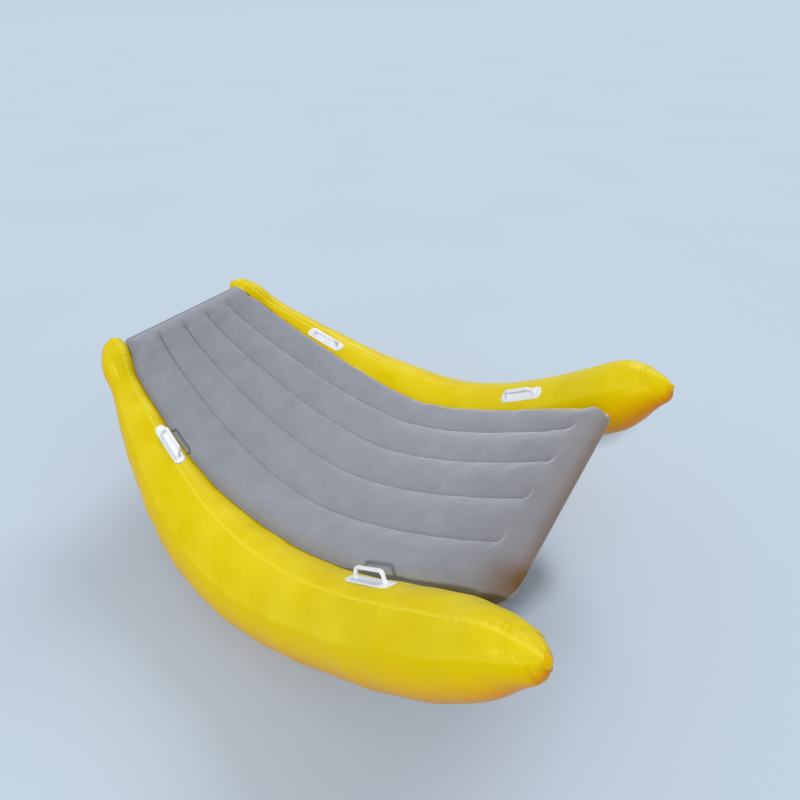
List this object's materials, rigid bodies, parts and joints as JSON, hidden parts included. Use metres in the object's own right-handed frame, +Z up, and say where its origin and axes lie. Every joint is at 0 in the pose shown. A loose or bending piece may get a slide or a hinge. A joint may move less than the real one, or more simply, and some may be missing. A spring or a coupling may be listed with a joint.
{
  "type": "inflatable rocking chair",
  "caption": "Inflatable rocker lounger: two banana-shaped air tubes as rockers and arms, a flocked mattress with lengthwise air channels slung between them, and moulded grab handles.",
  "frame": {"origin": "floor level, midway between the tubes and midway along the overall length", "axes": "+X from the head end to the foot end, +Y to the sitter's left, +Z up"},
  "size_m": [1.993, 1.5006, 0.7279],
  "materials": {
    "yellow_film": "gloss",
    "grey_flock": "matt, flocked",
    "grey_film": "satin",
    "web_film": "satin",
    "white_handle": "satin",
    "valve_plastic": "satin",
    "gasket_rubber": "matt"
  },
  "bodies": {
    "chair": {"left_tube_outer_panel": "yellow_film", "left_tube_inner_panel": "yellow_film", "left_tube_head_plug": "yellow_film", "left_tube_foot_plug": "yellow_film", "left_weld_band": "yellow_film", "left_head_handle": "white_handle", "left_foot_handle": "white_handle", "left_tube_valve_base": "valve_plastic", "right_tube_outer_panel": "yellow_film", "right_tube_inner_panel": "yellow_film", "right_tube_head_plug": "yellow_film", "right_tube_foot_plug": "yellow_film", "right_weld_band": "yellow_film", "right_head_handle": "white_handle", "right_foot_handle": "white_handle", "right_tube_valve_base": "valve_plastic", "mattress_top_sheet": "grey_flock", "mattress_bottom_sheet": "grey_film", "mattress_web_1": "web_film", "mattress_web_2": "web_film", "mattress_web_3": "web_film", "mattress_web_4": "web_film", "mattress_valve_base": "valve_plastic"},
    "left_tube_valve_gasket": {"left_tube_valve_gasket": "gasket_rubber"},
    "left_tube_valve_insert": {"left_tube_valve_insert": "valve_plastic"},
    "left_tube_valve_flap": {"left_tube_valve_flap": "gasket_rubber"},
    "left_tube_valve_cap": {"left_tube_valve_cap": "valve_plastic"},
    "right_tube_valve_gasket": {"right_tube_valve_gasket": "gasket_rubber"},
    "right_tube_valve_insert": {"right_tube_valve_insert": "valve_plastic"},
    "right_tube_valve_flap": {"right_tube_valve_flap": "gasket_rubber"},
    "right_tube_valve_cap": {"right_tube_valve_cap": "valve_plastic"},
    "mattress_valve_gasket": {"mattress_valve_gasket": "gasket_rubber"},
    "mattress_valve_insert": {"mattress_valve_insert": "valve_plastic"},
    "mattress_valve_flap": {"mattress_valve_flap": "gasket_rubber"},
    "mattress_valve_cap": {"mattress_valve_cap": "valve_plastic"}
  },
  "joints": [
    {"name": "left_tube_valve_lift", "type": "slide", "parent": "chair", "child": "left_tube_valve_gasket", "axis": [-0.0481, -0.8965, -0.4404], "range_m": [0, 0.0045]},
    {"name": "left_tube_valve_turn", "type": "hinge", "parent": "left_tube_valve_gasket", "child": "left_tube_valve_insert", "pos_m": [-0.26078, 0.42382, 0.1348], "axis": [-0.0481, -0.8965, -0.4404], "range_deg": [0, 540]},
    {"name": "left_tube_valve_flap_hinge", "type": "hinge", "parent": "left_tube_valve_insert", "child": "left_tube_valve_flap", "pos_m": [-0.25257, 0.42373, 0.13251], "axis": [-0.2367, 0.4386, -0.867], "range_deg": [0, 60], "stiffness_Nm_per_rad": 0.0002, "springref_deg": -11.46},
    {"name": "left_tube_valve_cap_hinge", "type": "hinge", "parent": "left_tube_valve_insert", "child": "left_tube_valve_cap", "pos_m": [-0.24507, 0.41385, 0.12547], "axis": [0.2367, -0.4386, 0.867], "range_deg": [0, 150]},
    {"name": "right_tube_valve_lift", "type": "slide", "parent": "chair", "child": "right_tube_valve_gasket", "axis": [-0.0481, 0.8965, -0.4404], "range_m": [0, 0.0045]},
    {"name": "right_tube_valve_turn", "type": "hinge", "parent": "right_tube_valve_gasket", "child": "right_tube_valve_insert", "pos_m": [-0.26078, -0.42382, 0.1348], "axis": [-0.0481, 0.8965, -0.4404], "range_deg": [0, 540]},
    {"name": "right_tube_valve_flap_hinge", "type": "hinge", "parent": "right_tube_valve_insert", "child": "right_tube_valve_flap", "pos_m": [-0.25257, -0.42373, 0.13251], "axis": [0.2367, 0.4386, 0.867], "range_deg": [0, 60], "stiffness_Nm_per_rad": 0.0002, "springref_deg": -11.46},
    {"name": "right_tube_valve_cap_hinge", "type": "hinge", "parent": "right_tube_valve_insert", "child": "right_tube_valve_cap", "pos_m": [-0.24507, -0.41385, 0.12547], "axis": [-0.2367, -0.4386, -0.867], "range_deg": [0, 150]},
    {"name": "mattress_valve_lift", "type": "slide", "parent": "chair", "child": "mattress_valve_gasket", "axis": [-0.4159, 0, -0.9094], "range_m": [0, 0.0045]},
    {"name": "mattress_valve_turn", "type": "hinge", "parent": "mattress_valve_gasket", "child": "mattress_valve_insert", "pos_m": [-0.52887, 0, 0.37284], "axis": [-0.4159, 0, -0.9094], "range_deg": [0, 540]},
    {"name": "mattress_valve_flap_hinge", "type": "hinge", "parent": "mattress_valve_insert", "child": "mattress_valve_flap", "pos_m": [-0.52144, 0, 0.36866], "axis": [0, 1, 0], "range_deg": [0, 60], "stiffness_Nm_per_rad": 0.0002, "springref_deg": -11.46},
    {"name": "mattress_valve_cap_hinge", "type": "hinge", "parent": "mattress_valve_insert", "child": "mattress_valve_cap", "pos_m": [-0.51871, 0, 0.35466], "axis": [0, -1, 0], "range_deg": [0, 150]}
  ],
  "couplings": [
    {"joint": "left_tube_valve_lift", "follows": "left_tube_valve_turn", "m_per_rad": 0.00047746},
    {"joint": "right_tube_valve_lift", "follows": "right_tube_valve_turn", "m_per_rad": 0.00047746},
    {"joint": "mattress_valve_lift", "follows": "mattress_valve_turn", "m_per_rad": 0.00047746}
  ]
}
